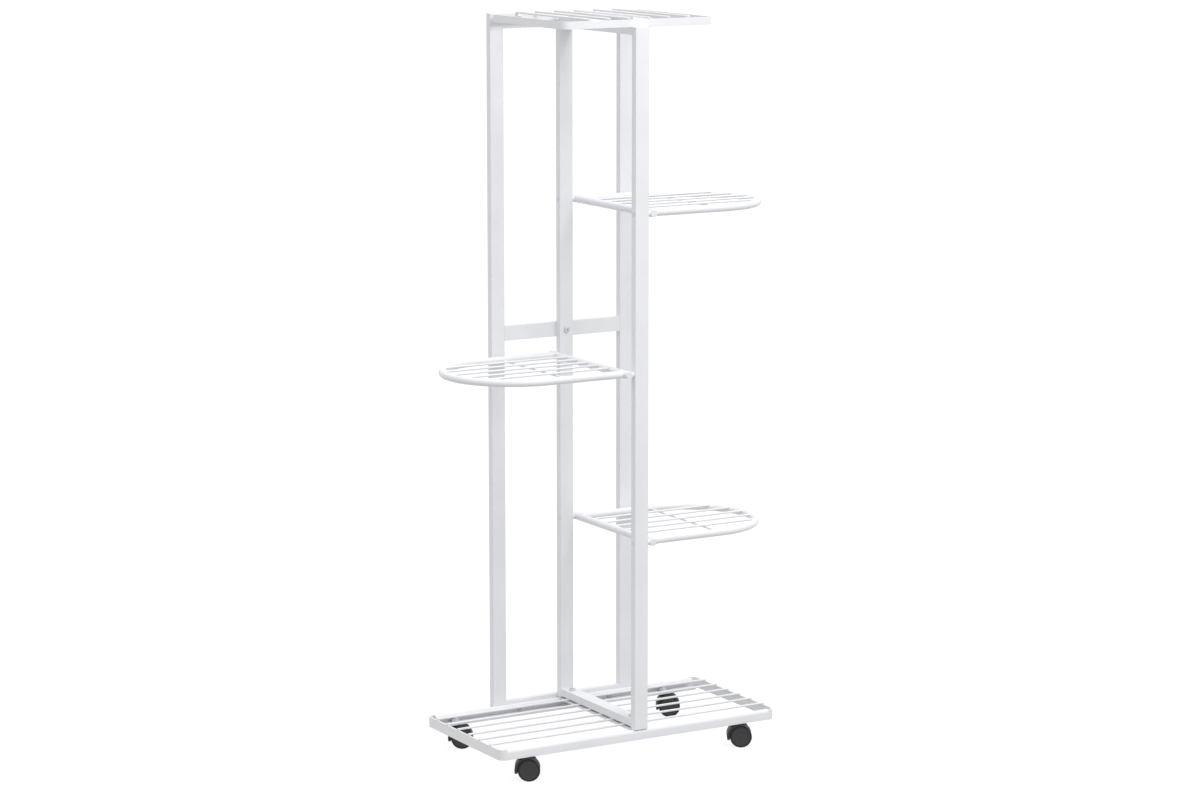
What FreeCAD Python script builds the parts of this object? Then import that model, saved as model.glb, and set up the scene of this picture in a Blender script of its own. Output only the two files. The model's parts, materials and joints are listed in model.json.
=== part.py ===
"""Flower cart stand: a tall, narrow plant stand on castors, in millimetres.

A wire tray on four castors carries two upright tube frames that cross in plan: the centre frame stands
on the tray from front to back, and the back frame stands across its back.  A small wire shelf closes the
top, and three round-ended wire shelves hang on the centre frame, one to the left and two to the right.

Origin: on the floor, below the middle of the tray.  +X to the right, +Y to the back, +Z up.
"""

import FreeCAD, Part
import math
import os
import Sketcher

PARTS_FOLDER = "parts"
CLEAR = 1.0  # how far a cutting shape runs past the material it cuts

# Driving sizes in millimetres, one spreadsheet cell each.
SIZES = {
    # base tray
    "tray_length": 430.0,
    "tray_depth": 210.0,
    "tray_underside": 33.0,
    "tray_height": 14.0,
    "tray_corner": 10.0,
    "tray_strip": 2.5,
    "rail_wall": 2.0,
    "rim_radius": 5.0,
    "flange_width": 20.0,
    "wire_radius": 1.5,
    "wire_pitch": 30.0,
    "clamp_width": 20.0,
    "clamp_thickness": 3.0,
    # upright frames of rectangular tube
    "tube_width": 20.0,
    "tube_depth": 10.0,
    "tube_wall": 1.5,
    "back_frame_width": 222.0,
    "back_frame_underside": 31.0,
    "crossbar_height": 564.0,
    "stand_height": 996.0,
    # top shelf
    "top_width": 228.0,
    "top_depth": 196.0,
    "top_height": 10.0,
    # side shelves of round tube
    "hoop_tube_radius": 5.0,
    "hoop_tube_wall": 1.0,
    "hoop_bend": 93.0,
    "hoop_reach": 230.0,
    "cross_tube_offset": 18.5,
    "side_wire_pitch": 28.0,
    "side_wire_rise": 3.2,
    "left_height": 530.0,
    "upper_right_height": 742.0,
    "lower_right_height": 301.5,
    "left_support_offset": 103.0,
    "right_support_offset": 131.0,
    "plug_flange": 1.0,
    "plug_depth": 1.5,
    "plug_gap": 0.05,
    "spacer_radius": 4.0,
    "screw_radius": 2.0,
    "screw_hole_radius": 2.1,
    "screw_head_radius": 4.0,
    # frame fasteners
    "bolt_radius": 2.5,
    "bolt_hole_radius": 2.6,
    "bolt_head_radius": 4.2,
    "bolt_head_height": 2.6,
    "bolt_socket_radius": 1.7,
    "bolt_reach": 4.0,
    "small_head_radius": 3.3,
    "frame_bolt_offset": 72.0,
    "bar_bolt_offset": 80.0,
    "bar_nut_radius": 4.6,
    "bar_nut_height": 4.0,
    # castors
    "castor_left": 176.5,
    "castor_right": 155.5,
    "castor_setback": 93.5,
    "castor_trail": 9.0,
    "castor_yaw": -30.0,
    "wheel_radius": 15.0,
    "wheel_width": 5.2,
    "wheel_inner_face": 5.4,
    "wheel_disc_radius": 12.3,
    "wheel_groove": 0.7,
    "wheel_edge": 1.3,
    "axle_radius": 2.0,
    "axle_reach": 9.6,
    "running_gap": 0.05,
    "hood_radius": 17.0,
    "hood_centre_height": 15.2,
    "hood_setback": 2.2,
    "hood_skirt_height": 11.0,
    "hood_half_width": 11.0,
    "hood_web_half": 5.0,
    "hood_wheel_gap": 0.7,
    "stem_radius": 3.0,
    "stem_foot": 12.0,
    "stem_tip": 41.5,
    "stem_collar_radius": 4.5,
    "stem_collar_height": 0.5,
    "stem_hole_radius": 3.2,
    "stem_nut_radius": 5.77,
    "stem_nut_height": 5.0,
}

ALONG_X = FreeCAD.Vector(1, 0, 0)
ALONG_Y = FreeCAD.Vector(0, 1, 0)
UP = FreeCAD.Vector(0, 0, 1)

DOC = FreeCAD.newDocument("FlowerCartStand")


class Size:
    """A length that carries both its value and the spreadsheet formula behind it."""

    def __init__(self, value, formula):
        self.value = value
        self.formula = formula

    def __add__(self, other):
        other = as_size(other)
        return Size(self.value + other.value, f"({self.formula} + {other.formula})")

    def __sub__(self, other):
        other = as_size(other)
        return Size(self.value - other.value, f"({self.formula} - {other.formula})")

    def __mul__(self, factor):
        return Size(self.value * factor, f"({self.formula} * {factor})")

    def __truediv__(self, factor):
        return Size(self.value / factor, f"({self.formula} / {factor})")

    def __neg__(self):
        return self * -1

    def leg(self, other):
        """The other short side of a right triangle with this hypotenuse."""
        other = as_size(other)
        value = math.sqrt(self.value**2 - other.value**2)
        return Size(value, f"sqrt(({self.formula})^2 - ({other.formula})^2)")


def as_size(number):
    """Wraps a plain number as a Size."""
    if isinstance(number, Size):
        return number
    return Size(float(number), f"({float(number)})")


def size(name):
    """The driving size of that name."""
    return Size(SIZES[name], f"Sizes.{name}")


def fill_sheet():
    """Writes every driving size to its own aliased cell of the sheet."""
    sheet = DOC.addObject("Spreadsheet::Sheet", "Sizes")
    for row, (name, value) in enumerate(SIZES.items(), start=1):
        sheet.set(f"A{row}", name)
        sheet.set(f"B{row}", str(value))
        sheet.setAlias(f"B{row}", name)
    DOC.recompute()


def bind(target, prop, length):
    """Binds a property to a size's formula."""
    target.setExpression(prop, as_size(length).formula)


def settle(target, turn, x, y, z):
    """Turns an object and binds its position to the sheet."""
    target.Placement = FreeCAD.Placement(FreeCAD.Vector(0, 0, 0), turn)
    for axis, length in (("x", x), ("y", y), ("z", z)):
        bind(target, f"Placement.Base.{axis}", length)


def place(target, x=0, y=0, z=0, yaw=0):
    """Places an object, turned about the vertical by yaw degrees."""
    settle(target, FreeCAD.Rotation(UP, yaw), x, y, z)


def aim(target, direction, x=0, y=0, z=0):
    """Places an object that is drawn along +Z so that it runs along a direction."""
    settle(target, FreeCAD.Rotation(UP, direction), x, y, z)


# ---------------------------------------------------------------- sketches


class Line:
    """A straight sketch edge that ends at (x, y)."""

    def __init__(self, x, y):
        self.x = as_size(x)
        self.y = as_size(y)


class Arc(Line):
    """A sketch arc that ends at (x, y) round a centre, counter-clockwise unless clockwise is set."""

    def __init__(self, x, y, centre_x, centre_y, clockwise=False):
        super().__init__(x, y)
        self.centre_x = as_size(centre_x)
        self.centre_y = as_size(centre_y)
        self.clockwise = clockwise


def sketch_on(body, name, role, offset=0):
    """A sketch on one of the body's own origin planes, moved along the plane's normal by offset."""
    plane = next(f for f in body.Origin.OriginFeatures if f.Role == role)
    sketch = body.newObject("Sketcher::SketchObject", f"{body.Name}_{name}")
    sketch.AttachmentSupport = [(plane, "")]
    sketch.MapMode = "FlatFace"
    bind(sketch, "AttachmentOffset.Base.z", offset)
    return sketch


def fix(sketch, kind, geometry, point, length):
    """Dimensions a sketch point from the sketch's origin, bound to the sheet."""
    length = as_size(length)
    index = sketch.addConstraint(Sketcher.Constraint(kind, -1, 1, geometry, point, length.value))
    sketch.setExpression(f"Constraints[{index}]", length.formula)


def vector(x, y):
    """The sketch point of two sizes."""
    return FreeCAD.Vector(x.value, y.value, 0)


def trace(sketch, edges, closed=True):
    """Draws a chain of edges; a closed chain starts where its last edge ends."""
    first = sketch.GeometryCount
    if closed:
        start = edges[-1]
        chain = edges
    else:
        start = edges[0]
        chain = edges[1:]
    ends = []
    for edge in chain:
        if isinstance(edge, Arc):
            ends.append(add_arc(sketch, start, edge))
        else:
            sketch.addGeometry(Part.LineSegment(vector(start.x, start.y), vector(edge.x, edge.y)))
            ends.append((1, 2))
        start = edge
    for step, edge in enumerate(chain):
        geometry = first + step
        finish = ends[step][1]
        fix(sketch, "DistanceX", geometry, finish, edge.x)
        fix(sketch, "DistanceY", geometry, finish, edge.y)
        following = step + 1
        if following == len(chain) and closed:
            following = 0
        if following < len(chain):
            entry = ends[following][0]
            sketch.addConstraint(
                Sketcher.Constraint("Coincident", geometry, finish, first + following, entry)
            )
    if not closed:
        fix(sketch, "DistanceX", first, ends[0][0], edges[0].x)
        fix(sketch, "DistanceY", first, ends[0][0], edges[0].y)


def add_arc(sketch, start, edge):
    """Draws one arc and returns its start and end point numbers along the chain."""
    centre = vector(edge.centre_x, edge.centre_y)
    spokes = [vector(p.x, p.y) - centre for p in (start, edge)]
    angles = [math.atan2(spoke.y, spoke.x) for spoke in spokes]
    ends = (1, 2)
    if edge.clockwise:
        angles.reverse()
        ends = (2, 1)
    circle = Part.Circle(centre, UP, spokes[0].Length)
    geometry = sketch.addGeometry(Part.ArcOfCircle(circle, angles[0], angles[1]))
    chord = vector(edge.x, edge.y) - vector(start.x, start.y)
    if abs(chord.x) > abs(chord.y):
        fix(sketch, "DistanceY", geometry, 3, edge.centre_y)
    else:
        fix(sketch, "DistanceX", geometry, 3, edge.centre_x)
    return ends


def ring(sketch, x, y, radius):
    """Draws a circle bound to the sheet."""
    x, y, radius = as_size(x), as_size(y), as_size(radius)
    geometry = sketch.addGeometry(Part.Circle(vector(x, y), UP, radius.value))
    fix(sketch, "DistanceX", geometry, 3, x)
    fix(sketch, "DistanceY", geometry, 3, y)
    index = sketch.addConstraint(Sketcher.Constraint("Radius", geometry, radius.value))
    sketch.setExpression(f"Constraints[{index}]", radius.formula)


def rectangle(x_low, x_high, y_low, y_high):
    """The four edges of a rectangle."""
    return [Line(x_high, y_low), Line(x_high, y_high), Line(x_low, y_high), Line(x_low, y_low)]


def rounded_rectangle(half_x, half_y, corner):
    """The edges of a centred rectangle with round corners."""
    x, y = half_x - corner, half_y - corner
    return [
        Line(x, -half_y),
        Arc(half_x, -y, x, -y),
        Line(half_x, y),
        Arc(x, half_y, x, y),
        Line(-x, half_y),
        Arc(-half_x, y, -x, y),
        Line(-half_x, -y),
        Arc(-x, -half_y, -x, -y),
    ]


# ---------------------------------------------------------------- features


def new_body(label):
    """An empty body whose label is the piece's name."""
    body = DOC.addObject("PartDesign::Body", label)
    body.Label = label
    return body


def pad(body, sketch, length, symmetric=False):
    """Adds material from a sketch, along its normal or to both sides of it."""
    feature = body.newObject("PartDesign::Pad", f"{sketch.Name}_pad")
    feature.Profile = sketch
    bind(feature, "Length", length)
    if symmetric:
        feature.SideType = "Symmetric"
    return feature


def pocket(body, sketch, length=None):
    """Cuts a sketch to both sides of its plane, through everything unless a full length is given."""
    feature = body.newObject("PartDesign::Pocket", f"{sketch.Name}_pocket")
    feature.Profile = sketch
    if length is None:
        feature.Type = "ThroughAll"
    else:
        bind(feature, "Length", length)
    feature.SideType = "Symmetric"
    return feature


def revolve(body, sketch):
    """Turns a sketch right round its own vertical axis."""
    feature = body.newObject("PartDesign::Revolution", f"{sketch.Name}_turn")
    feature.Profile = sketch
    feature.ReferenceAxis = (sketch, ["V_Axis"])
    feature.Angle = 360
    return feature


def drill(body, name, role, holes, radius, offset=0, depth=None):
    """Drills round holes square to one of the body's planes."""
    sketch = sketch_on(body, name, role, offset)
    for x, y in holes:
        ring(sketch, x, y, radius)
    return pocket(body, sketch, depth)


def group(label, members):
    """One piece name for several separate solids."""
    compound = DOC.addObject("Part::Compound", label)
    compound.Label = label
    compound.Links = members
    return compound


def rod(name, radius, length, direction, x=0, y=0, z=0):
    """A round bar that starts at a point and runs along +X, +Y or +Z."""
    bar = DOC.addObject("Part::Cylinder", name)
    bind(bar, "Radius", radius)
    bind(bar, "Height", length)
    aim(bar, direction, x, y, z)
    return bar


def cut(label, base, tools):
    """A piece trimmed by other shapes."""
    tool = group(f"{label}_trim", tools)
    result = DOC.addObject("Part::Cut", label)
    result.Label = label
    result.Base = base
    result.Tool = tool
    return result


# ---------------------------------------------------------------- base tray


def long_rail(label, stems, bolts, yaw):
    """A rolled-top rail of the tray, drawn at the back; the front one is turned half round."""
    outside = size("tray_depth") / 2
    low = size("tray_underside")
    rim = size("rim_radius")
    wall = size("rail_wall")
    rim_y = outside - rim
    rim_z = low + size("tray_height") - rim
    flange = outside - size("flange_width")
    half_length = size("tray_length") / 2 - size("tray_corner")
    body = new_body(label)
    section = sketch_on(body, "section", "YZ_Plane")
    trace(
        section,
        [
            Line(outside, low),
            Line(outside, rim_z),
            Arc(outside - rim * 2, rim_z, rim_y, rim_z),
            Line(outside - rim * 2 + wall, rim_z),
            Arc(outside - wall, rim_z, rim_y, rim_z, clockwise=True),
            Line(outside - wall, low + wall),
            Line(flange, low + wall),
            Line(flange, low),
        ],
    )
    pad(body, section, half_length * 2, symmetric=True)
    holes = [(x, size("castor_setback")) for x in stems]
    drill(body, "stem_holes", "XY_Plane", holes, size("stem_hole_radius"), low, wall * 4)
    if bolts:
        drill(body, "bolt_holes", "XZ_Plane", bolts, size("bolt_hole_radius"), -outside, wall * 4)
    place(body, yaw=yaw)
    return body


def end_strip(label, yaw):
    """A flat strip across one end of the tray, bent round both corners, drawn at the right."""
    x = size("tray_length") / 2
    y = size("tray_depth") / 2
    bend = size("tray_corner")
    inner = bend - size("tray_strip")
    x_bend = x - bend
    y_bend = y - bend
    body = new_body(label)
    plan = sketch_on(body, "plan", "XY_Plane", size("tray_underside"))
    trace(
        plan,
        [
            Arc(x, -y_bend, x_bend, -y_bend),
            Line(x, y_bend),
            Arc(x_bend, y, x_bend, y_bend),
            Line(x_bend, y_bend + inner),
            Arc(x_bend + inner, y_bend, x_bend, y_bend, clockwise=True),
            Line(x_bend + inner, -y_bend),
            Arc(x_bend, -y_bend - inner, x_bend, -y_bend, clockwise=True),
            Line(x_bend, -y),
        ],
    )
    pad(body, plan, size("tray_height"))
    place(body, yaw=yaw)
    return body


def clamp_strip(label, half_length, underside):
    """A flat strip from front to back that the centre frame is bolted to."""
    half_width = size("clamp_width") / 2
    body = new_body(label)
    plan = sketch_on(body, "plan", "XY_Plane")
    trace(plan, rectangle(-half_width, half_width, -half_length, half_length))
    for side in (-1, 1):
        ring(plan, 0, size("bar_bolt_offset") * side, size("bolt_hole_radius"))
    pad(body, plan, size("clamp_thickness"))
    place(body, z=underside)
    return body


def six_wires(label, length, direction, height):
    """Six parallel wires spread evenly about the middle."""
    wires = []
    for number in range(6):
        across = size("wire_pitch") * (number - 2.5)
        if direction is ALONG_X:
            x, y = -length / 2, across
        else:
            x, y = across, -length / 2
        wires.append(rod(f"{label}_{number + 1}", size("wire_radius"), length, direction, x, y, height))
    return group(label, wires)


def make_tray():
    """The tray: two rolled rails, two end strips, the wires on top and the strip that clamps them."""
    left, right = size("castor_left"), size("castor_right")
    top = size("tray_underside") + size("tray_height")
    bolts = [(size("frame_bolt_offset") * side, back_bolt_height()) for side in (-1, 1)]
    rims = size("tray_depth") / 2 - size("rim_radius") * 2
    return [
        long_rail("tray_back_rail", (-left, right), bolts, yaw=0),
        long_rail("tray_front_rail", (left, -right), [], yaw=180),
        end_strip("tray_right_end", yaw=0),
        end_strip("tray_left_end", yaw=180),
        six_wires("tray_wires", size("tray_length"), ALONG_X, top + size("wire_radius")),
        clamp_strip("tray_clamp_strip", rims, top - size("clamp_thickness")),
    ]


# ---------------------------------------------------------------- upright frames


def frame_top():
    """The height of the centre frame, which carries the top shelf."""
    return size("stand_height") - size("top_height")


def frame_foot():
    """The height of the tray's rims, where the centre frame's posts stand."""
    return size("tray_underside") + size("tray_height")


def bar_underside():
    """The underside of the centre frame's bottom bar, on top of the tray's wires."""
    return frame_foot() + size("wire_radius") * 2


def back_bolt_height():
    """The height of the bolts through the tray's back rail, below its rolled rim."""
    flange_top = size("tray_underside") + size("rail_wall")
    rim = frame_foot() - size("rim_radius")
    return (flange_top + rim) / 2


def hollow_bar(label, role, middle, outline, bore, depth):
    """A length of rectangular tube: an outline in one plane with its bore taken out."""
    body = new_body(label)
    section = sketch_on(body, "outline", role, middle)
    trace(section, outline)
    pad(body, section, depth, symmetric=True)
    core = sketch_on(body, "bore", role, middle)
    trace(core, bore)
    pocket(body, core, depth - size("tube_wall") * 2)
    return body


def back_post(label, side):
    """A post of the back frame, mitred at both ends."""
    outer = size("back_frame_width") / 2 * side
    inner = outer - size("tube_width") * side
    wall = size("tube_wall") * side
    low, high = size("back_frame_underside"), size("stand_height")
    mitre = size("tube_width")
    outline = [Line(outer, low), Line(outer, high), Line(inner, high - mitre), Line(inner, low + mitre)]
    bore = rectangle(inner + wall, outer - wall, low - CLEAR, high + CLEAR)
    return hollow_bar(label, "XZ_Plane", -back_frame_middle(), outline, bore, size("tube_depth"))


def back_frame_middle():
    """Where the back frame lies, front to back."""
    return size("tray_depth") / 2 + size("tube_depth") / 2


def back_bar(label, low, mitre_low, mitre_high, bolts):
    """A bar across the back frame, mitred where it meets the posts' ends."""
    half = size("back_frame_width") / 2
    inner = half - size("tube_width")
    high = low + size("tube_width")
    wall = size("tube_wall")
    half_low = half if mitre_low else inner
    half_high = half if mitre_high else inner
    outline = [Line(half_low, low), Line(half_high, high), Line(-half_high, high), Line(-half_low, low)]
    bore = rectangle(-half - CLEAR, half + CLEAR, low + wall, high - wall)
    body = hollow_bar(label, "XZ_Plane", -back_frame_middle(), outline, bore, size("tube_depth"))
    front = -size("tray_depth") / 2
    drill(body, "bolt_holes", "XZ_Plane", bolts, size("bolt_hole_radius"), front, wall * 4)
    return body


def centre_post(label, side):
    """A post of the centre frame: foot on the tray's rim, mitred at the top, with the shelves' screw holes."""
    outer = size("tray_depth") / 2 * side
    inner = outer - size("tube_depth") * side
    wall = size("tube_wall") * side
    low, high = frame_foot(), frame_top()
    outline = [Line(outer, low), Line(outer, high), Line(inner, high - size("tube_depth")), Line(inner, low)]
    bore = rectangle(inner + wall, outer - wall, low - CLEAR, high + CLEAR)
    body = hollow_bar(label, "YZ_Plane", 0, outline, bore, size("tube_width"))
    centre = outer - size("tube_depth") / 2 * side
    holes = [(centre, shelf.height) for shelf in SHELVES]
    drill(body, "screw_holes", "YZ_Plane", holes, size("screw_hole_radius"))
    for shelf in SHELVES:
        countersink(body, shelf, centre)
    return body


def countersink(body, shelf, y):
    """The conical seat of a shelf screw, in the post's face away from the shelf."""
    face = size("tube_width") / 2 * -shelf.side
    seat = body.newObject("PartDesign::SubtractiveCone", f"{body.Name}_{shelf.name}_seat")
    bind(seat, "Radius1", size("screw_head_radius"))
    bind(seat, "Radius2", size("screw_hole_radius"))
    bind(seat, "Height", size("tube_wall"))
    aim(seat, ALONG_X * shelf.side, face, y, shelf.height)


def centre_bar(label, low, mitred):
    """A bar of the centre frame, front to back, flat under the top shelf or flat on the tray."""
    outer = size("tray_depth") / 2
    inner = outer - size("tube_depth")
    high = low + size("tube_depth")
    wall = size("tube_wall")
    half_high = outer if mitred else inner
    outline = [Line(inner, low), Line(half_high, high), Line(-half_high, high), Line(-inner, low)]
    bore = rectangle(-outer - CLEAR, outer + CLEAR, low + wall, high - wall)
    body = hollow_bar(label, "YZ_Plane", 0, outline, bore, size("tube_width"))
    holes = [(0, size("bar_bolt_offset") * side) for side in (-1, 1)]
    if mitred:
        drill(body, "bolt_holes", "XY_Plane", holes, size("bolt_hole_radius"), high, wall * 4)
    else:
        drill(body, "bolt_holes", "XY_Plane", holes, size("bolt_hole_radius"))
    return body


def make_back_frame():
    """The back frame: two posts, top and bottom bars mitred to them and a crossbar half way up."""
    width = size("tube_width")
    offset = size("frame_bolt_offset")
    top_bolts = [(offset * side, frame_top() + size("top_height") / 2) for side in (-1, 1)]
    bottom_bolts = [(offset * side, back_bolt_height()) for side in (-1, 1)]
    crossbar_bolt = [(0, size("crossbar_height"))]
    crossbar_low = size("crossbar_height") - width / 2
    return [
        back_post("back_left_post", -1),
        back_post("back_right_post", 1),
        back_bar("back_top_bar", size("stand_height") - width, False, True, top_bolts),
        back_bar("back_crossbar", crossbar_low, False, False, crossbar_bolt),
        back_bar("back_bottom_bar", size("back_frame_underside"), True, False, bottom_bolts),
    ]


def make_centre_frame():
    """The centre frame: two posts, the top bar mitred to them and the bottom bar on the tray's wires."""
    rear = centre_post("centre_rear_post", 1)
    bolt = [(0, size("crossbar_height"))]
    drill(rear, "crossbar_bolt_hole", "XZ_Plane", bolt, size("bolt_hole_radius"))
    return [
        centre_post("centre_front_post", -1),
        rear,
        centre_bar("centre_top_bar", frame_top() - size("tube_depth"), True),
        centre_bar("centre_bottom_bar", bar_underside(), False),
    ]


# ---------------------------------------------------------------- top shelf


def make_top_shelf():
    """The top shelf: a strip bent into a loop, six wires across it and the strip that holds it down."""
    half_x, half_y = size("top_width") / 2, size("top_depth") / 2
    strip = size("tray_strip")
    corner = size("tray_corner")
    body = new_body("top_shelf_band")
    plan = sketch_on(body, "plan", "XY_Plane", frame_top())
    trace(plan, rounded_rectangle(half_x, half_y, corner))
    trace(plan, rounded_rectangle(half_x - strip, half_y - strip, corner - strip))
    pad(body, plan, size("top_height"))
    middle = frame_top() + size("top_height") / 2
    holes = [(size("frame_bolt_offset") * side, middle) for side in (-1, 1)]
    drill(body, "bolt_holes", "XZ_Plane", holes, size("bolt_hole_radius"), -half_y, strip * 4)
    wires = six_wires("top_shelf_wires", size("top_depth"), ALONG_Y, size("stand_height") + size("wire_radius"))
    strip_piece = clamp_strip("top_shelf_clamp_strip", half_y - strip, frame_top())
    return [body, wires, strip_piece]


# ---------------------------------------------------------------- side shelves

ENDS = ((-1, "front"), (1, "back"))


class Shelf:
    """Where one side shelf hangs: its name, its side, its tube's height and its support wire."""

    def __init__(self, name, side, height, support):
        self.name = name
        self.side = side
        self.height = size(height)
        self.support = size(support)

    @property
    def yaw(self):
        """Half a turn for a shelf on the left."""
        return 0 if self.side > 0 else 180


SHELVES = (
    Shelf("upper_right", 1, "upper_right_height", "right_support_offset"),
    Shelf("left", -1, "left_height", "left_support_offset"),
    Shelf("lower_right", 1, "lower_right_height", "right_support_offset"),
)


def hoop(shelf):
    """The shelf's rim: round tube out, round a half circle and back, coped onto the cross tube."""
    start = size("cross_tube_offset")
    bend = size("hoop_bend")
    bend_x = size("hoop_reach") - bend
    outside = size("hoop_tube_radius")
    body = new_body(f"{shelf.name}_shelf_hoop")
    path = sketch_on(body, "path", "XY_Plane")
    trace(
        path,
        [Line(start, -bend), Line(bend_x, -bend), Arc(bend_x, bend, bend_x, 0), Line(start, bend)],
        closed=False,
    )
    section = sketch_on(body, "section", "YZ_Plane", start)
    ring(section, -bend, 0, outside)
    ring(section, -bend, 0, outside - size("hoop_tube_wall"))
    sweep = body.newObject("PartDesign::AdditivePipe", f"{body.Name}_sweep")
    sweep.Profile = section
    sweep.Spine = path
    cope = sketch_on(body, "cope", "XZ_Plane")
    ring(cope, start, 0, outside)
    pocket(body, cope)
    place(body, z=shelf.height, yaw=shelf.yaw)
    return body


def cross_tube(shelf):
    """The straight tube that closes the shelf's rim beside the centre frame."""
    x = size("cross_tube_offset")
    outside = size("hoop_tube_radius")
    length = size("tray_depth") - size("plug_flange") * 2
    body = new_body(f"{shelf.name}_shelf_cross_tube")
    section = sketch_on(body, "section", "XZ_Plane")
    ring(section, x, 0, outside)
    ring(section, x, 0, outside - size("hoop_tube_wall"))
    pad(body, section, length, symmetric=True)
    holes = [(screw_line() * side, 0) for side in (-1, 1)]
    drill(body, "screw_holes", "YZ_Plane", holes, size("screw_hole_radius"), x - outside, outside)
    place(body, z=shelf.height, yaw=shelf.yaw)
    return body


def screw_line():
    """How far the shelf screws are from the middle: the centre of the posts."""
    return size("tray_depth") / 2 - size("tube_depth") / 2


def shelf_wires(shelf):
    """Five wires from the cross tube to the round end, level with the top of the tube."""
    label = f"{shelf.name}_shelf_wires"
    start = size("cross_tube_offset")
    bend = size("hoop_bend")
    bend_x = size("hoop_reach") - bend
    height = shelf.height + size("side_wire_rise")
    wires = []
    for number in range(5):
        across = size("side_wire_pitch") * (number - 2)
        length = bend_x + bend.leg(across) - start
        x = start if shelf.side > 0 else -start - length
        wires.append(rod(f"{label}_{number + 1}", size("wire_radius"), length, ALONG_X, x, across, height))
    end_ring = DOC.addObject("Part::Torus", f"{label}_end")
    bind(end_ring, "Radius1", bend)
    bind(end_ring, "Radius2", size("hoop_tube_radius"))
    end_ring.Angle3 = 180
    place(end_ring, x=bend_x * shelf.side, z=shelf.height, yaw=shelf.yaw - 90)
    length = size("tray_depth")
    tube_x = start * shelf.side
    tube = rod(f"{label}_start", size("hoop_tube_radius"), length, ALONG_Y, tube_x, -length / 2, shelf.height)
    return cut(label, group(f"{label}_full", wires), [end_ring, tube])


def support_wire(shelf):
    """One wire under the others, from the front of the rim to its back."""
    label = f"{shelf.name}_shelf_support"
    bend = size("hoop_bend")
    radius = size("wire_radius")
    x = shelf.support * shelf.side
    height = shelf.height + size("side_wire_rise") - radius * 2
    wire = rod(f"{label}_full", radius, bend * 2, ALONG_Y, x, -bend, height)
    sides = []
    tube_radius = size("hoop_tube_radius")
    start = x - tube_radius
    for side, name in ENDS:
        tube_name = f"{label}_{name}"
        sides.append(rod(tube_name, tube_radius, tube_radius * 2, ALONG_X, start, bend * side, shelf.height))
    return cut(label, wire, sides)


def shelf_spacer(shelf, side, name):
    """A short sleeve between a post and the cross tube, coped onto the tube."""
    face = size("tube_width") / 2
    x = size("cross_tube_offset")
    body = new_body(f"{shelf.name}_spacer_{name}")
    section = sketch_on(body, "section", "YZ_Plane", face)
    ring(section, 0, 0, size("spacer_radius"))
    ring(section, 0, 0, size("screw_hole_radius"))
    pad(body, section, x - face)
    cope = sketch_on(body, "cope", "XZ_Plane")
    ring(cope, x, 0, size("hoop_tube_radius"))
    pocket(body, cope)
    place(body, y=screw_line() * side, z=shelf.height, yaw=shelf.yaw)
    return body


def shelf_screw(shelf, side, name):
    """A countersunk screw from the post's far face into the cross tube."""
    face = size("tube_width") / 2
    radius = size("screw_radius")
    wall = size("tube_wall")
    reach = size("cross_tube_offset") - size("hoop_tube_wall")
    body = new_body(f"{shelf.name}_screw_{name}")
    outline = sketch_on(body, "outline", "XZ_Plane")
    trace(
        outline,
        [
            Line(radius, wall),
            Line(radius, reach + face),
            Line(0, reach + face),
            Line(0, 0),
            Line(size("screw_head_radius"), 0),
        ],
    )
    revolve(body, outline)
    aim(body, ALONG_X * shelf.side, face * -shelf.side, screw_line() * side, shelf.height)
    return body


def end_plug(shelf, side, name):
    """A plug in an open end of the cross tube."""
    outside = size("hoop_tube_radius")
    inside = outside - size("hoop_tube_wall") - size("plug_gap")
    flange, depth = size("plug_flange"), size("plug_depth")
    body = new_body(f"{shelf.name}_plug_{name}")
    outline = sketch_on(body, "outline", "XZ_Plane")
    trace(
        outline,
        [
            Line(0, 0),
            Line(outside - flange / 2, 0),
            Arc(outside, flange / 2, outside - flange / 2, flange / 2),
            Line(outside, flange),
            Line(inside, flange),
            Line(inside, flange + depth),
            Line(0, flange + depth),
        ],
    )
    revolve(body, outline)
    tube_x = size("cross_tube_offset") * shelf.side
    aim(body, ALONG_Y * -side, tube_x, size("tray_depth") / 2 * side, shelf.height)
    return body


def make_side_shelves():
    """The three side shelves and what fastens them to the centre frame."""
    pieces = []
    for shelf in SHELVES:
        pieces += [hoop(shelf), cross_tube(shelf), shelf_wires(shelf), support_wire(shelf)]
    ends = [(shelf, side, name) for shelf in SHELVES for side, name in ENDS]
    pieces.append(group("shelf_spacers", [shelf_spacer(*end) for end in ends]))
    pieces.append(group("shelf_screws", [shelf_screw(*end) for end in ends]))
    pieces.append(group("cross_tube_plugs", [end_plug(*end) for end in ends]))
    return pieces


# ---------------------------------------------------------------- frame fasteners


def hexagon(radius, centre_x=0):
    """The six edges of a hexagon of that corner radius."""
    centre_x = as_size(centre_x)
    corners = []
    for step in range(6):
        angle = math.radians(60 * step)
        corners.append(Line(centre_x + radius * math.cos(angle), radius * math.sin(angle)))
    return corners


def socket_bolt(name, head_radius, grip, direction, x, y, z):
    """A round-headed bolt with a hexagon socket, its head's seat at the point and its shank along direction."""
    head = size("bolt_head_height")
    radius = size("bolt_radius")
    edge = head / 2
    body = new_body(name)
    outline = sketch_on(body, "outline", "XZ_Plane")
    trace(
        outline,
        [
            Line(head_radius, 0),
            Line(radius, 0),
            Line(radius, grip),
            Line(0, grip),
            Line(0, -head),
            Line(head_radius - edge, -head),
            Arc(head_radius, -head + edge, head_radius - edge, -head + edge),
        ],
    )
    revolve(body, outline)
    socket = sketch_on(body, "socket", "XY_Plane", -head)
    trace(socket, hexagon(size("bolt_socket_radius")))
    pocket(body, socket, head)
    aim(body, direction, x, y, z)
    return body


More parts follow.
